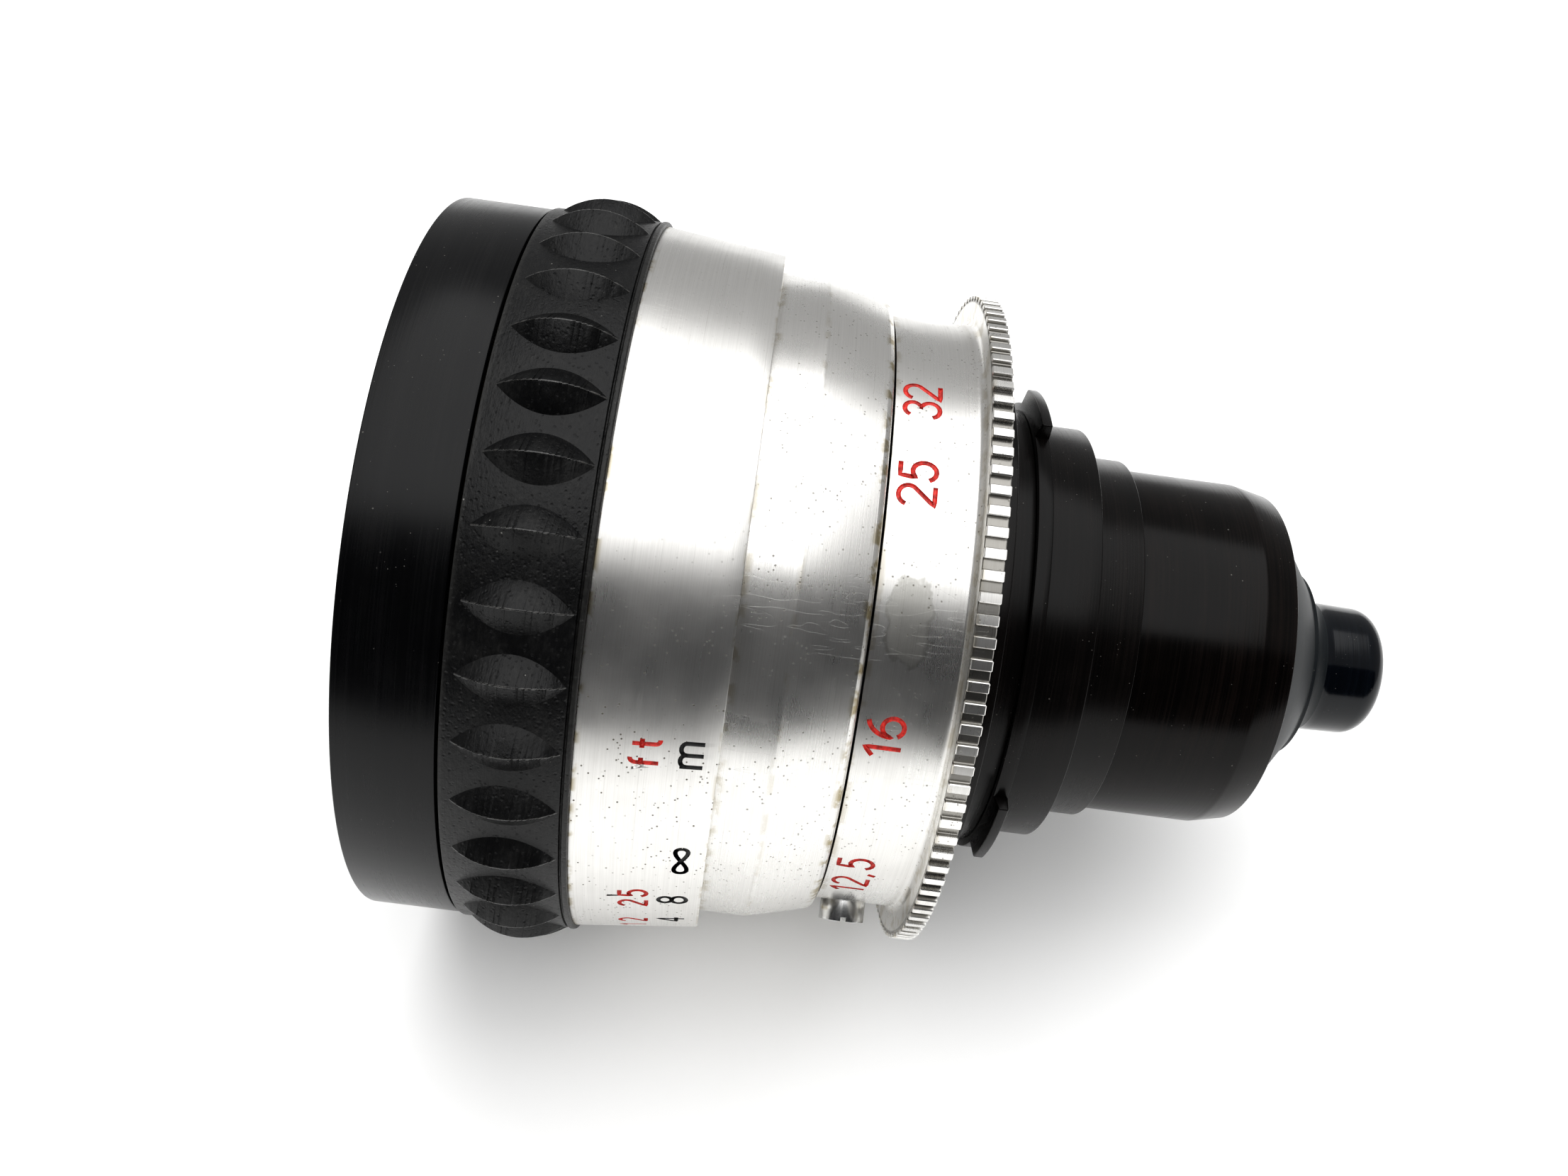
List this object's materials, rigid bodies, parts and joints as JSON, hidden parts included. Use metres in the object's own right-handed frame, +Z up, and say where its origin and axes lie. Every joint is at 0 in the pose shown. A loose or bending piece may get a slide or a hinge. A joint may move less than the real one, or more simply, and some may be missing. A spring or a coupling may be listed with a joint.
{
  "type": "prime camera lens",
  "caption": "Wide-angle cine prime lens with a lobed black focus grip, bare aluminium distance and aperture rings and a stepped black rear barrel.",
  "frame": {"origin": "on the optical axis, in the plane of the flange that seats against the camera", "axes": "+Y along the optical axis towards the camera, +Z up, front glass towards -Y"},
  "size_m": [0.0864, 0.1126, 0.0864],
  "materials": {
    "hood_paint": "satin",
    "grip_paint": "matte",
    "bare_aluminium": "brushed",
    "black_anodised": "satin",
    "nub_black": "gloss",
    "inner_black": "matte",
    "iris_steel": "satin",
    "brass_thread": "satin",
    "screw_steel": "polished",
    "optical_glass": "clear"
  },
  "bodies": {
    "fixed": {"fixed_barrel": "bare_aluminium", "key_screw": "screw_steel", "focus_retainer": "inner_black", "core_tube": "inner_black", "iris_base": "inner_black", "iris_cover": "inner_black", "mount_flange": "black_anodised", "lug_ring": "black_anodised", "rear_barrel": "black_anodised", "rear_sleeve": "black_anodised", "middle_cell": "inner_black", "fourth_glass": "optical_glass", "rear_lens_tube": "inner_black", "fifth_glass": "optical_glass", "fifth_retaining_ring": "inner_black", "sixth_glass": "optical_glass", "sixth_retaining_ring": "inner_black", "rear_cell": "nub_black", "rear_glass": "optical_glass", "rear_spacer": "inner_black"},
    "carriage": {"hood": "hood_paint", "front_carriage": "brass_thread", "front_cell": "inner_black", "front_glass": "optical_glass", "front_retaining_ring": "inner_black", "inner_front_cell": "inner_black", "second_glass": "optical_glass", "second_retaining_ring": "inner_black", "third_glass": "optical_glass"},
    "focus_ring": {"grip_ring": "grip_paint", "scale_ring": "bare_aluminium", "focus_nut": "brass_thread", "focus_screws": "screw_steel"},
    "aperture": {"aperture_ring": "bare_aluminium", "aperture_knob": "screw_steel", "drive_screw": "screw_steel", "iris_cam_ring": "iris_steel"},
    "leaf_1": {"blade_1": "iris_steel"},
    "leaf_2": {"blade_2": "iris_steel"},
    "leaf_3": {"blade_3": "iris_steel"},
    "leaf_4": {"blade_4": "iris_steel"},
    "leaf_5": {"blade_5": "iris_steel"},
    "leaf_6": {"blade_6": "iris_steel"}
  },
  "joints": [
    {"name": "focus", "type": "hinge", "parent": "fixed", "child": "focus_ring", "pos_m": [0, -0.04, 0], "axis": [0, 1, 0], "range_deg": [-118, 52]},
    {"name": "focus_slide", "type": "slide", "parent": "fixed", "child": "carriage", "axis": [0, 1, 0], "range_m": [-0.00063, 0.00028]},
    {"name": "iris", "type": "hinge", "parent": "fixed", "child": "aperture", "pos_m": [0, -0.008, 0], "axis": [0, 1, 0], "range_deg": [-70, 133.6]},
    {"name": "leaf_1_swing", "type": "hinge", "parent": "fixed", "child": "leaf_1", "pos_m": [0.0205, -0.012, 0], "axis": [0, 1, 0], "range_deg": [-8.25, 15.7]},
    {"name": "leaf_2_swing", "type": "hinge", "parent": "fixed", "child": "leaf_2", "pos_m": [0.01025, -0.012, 0.01775], "axis": [0, 1, 0], "range_deg": [-8.25, 15.7]},
    {"name": "leaf_3_swing", "type": "hinge", "parent": "fixed", "child": "leaf_3", "pos_m": [-0.01025, -0.012, 0.01775], "axis": [0, 1, 0], "range_deg": [-8.25, 15.7]},
    {"name": "leaf_4_swing", "type": "hinge", "parent": "fixed", "child": "leaf_4", "pos_m": [-0.0205, -0.012, 0], "axis": [0, 1, 0], "range_deg": [-8.25, 15.7]},
    {"name": "leaf_5_swing", "type": "hinge", "parent": "fixed", "child": "leaf_5", "pos_m": [-0.01025, -0.012, -0.01775], "axis": [0, 1, 0], "range_deg": [-8.25, 15.7]},
    {"name": "leaf_6_swing", "type": "hinge", "parent": "fixed", "child": "leaf_6", "pos_m": [0.01025, -0.012, -0.01775], "axis": [0, 1, 0], "range_deg": [-8.25, 15.7]}
  ],
  "couplings": [
    {"joint": "focus_slide", "follows": "focus", "m_per_rad": 0.00030333},
    {"joint": "leaf_1_swing", "follows": "iris", "ratio": 0.11739},
    {"joint": "leaf_2_swing", "follows": "iris", "ratio": 0.11739},
    {"joint": "leaf_3_swing", "follows": "iris", "ratio": 0.11739},
    {"joint": "leaf_4_swing", "follows": "iris", "ratio": 0.11739},
    {"joint": "leaf_5_swing", "follows": "iris", "ratio": 0.11739},
    {"joint": "leaf_6_swing", "follows": "iris", "ratio": 0.11739}
  ]
}
